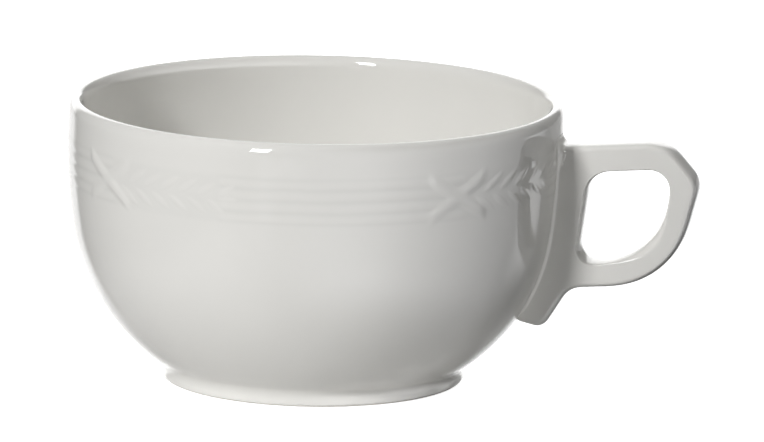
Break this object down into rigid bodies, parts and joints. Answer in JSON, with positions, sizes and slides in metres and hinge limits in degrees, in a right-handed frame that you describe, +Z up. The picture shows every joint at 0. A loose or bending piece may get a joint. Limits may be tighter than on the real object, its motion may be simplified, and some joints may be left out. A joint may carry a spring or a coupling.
{
  "type": "porcelain cup",
  "caption": "Round porcelain breakfast cup on a low foot ring, with a loop handle strapped to the wall and a moulded band of reeds tied by crossed ribbons below the lip.",
  "frame": {"origin": "centre of the foot ring, on the plane that the cup stands on", "axes": "+Z up along the bowl's axis, +X from the axis towards the handle, +Y square to both"},
  "size_m": [0.137, 0.1078, 0.0607],
  "materials": {
    "porcelain": "white porcelain under a clear gloss glaze",
    "slip": "fired porcelain slip under the same clear gloss glaze"
  },
  "bodies": {
    "root": {"bowl": "porcelain", "handle": "porcelain", "slip_joint": "slip"}
  },
  "joints": []
}
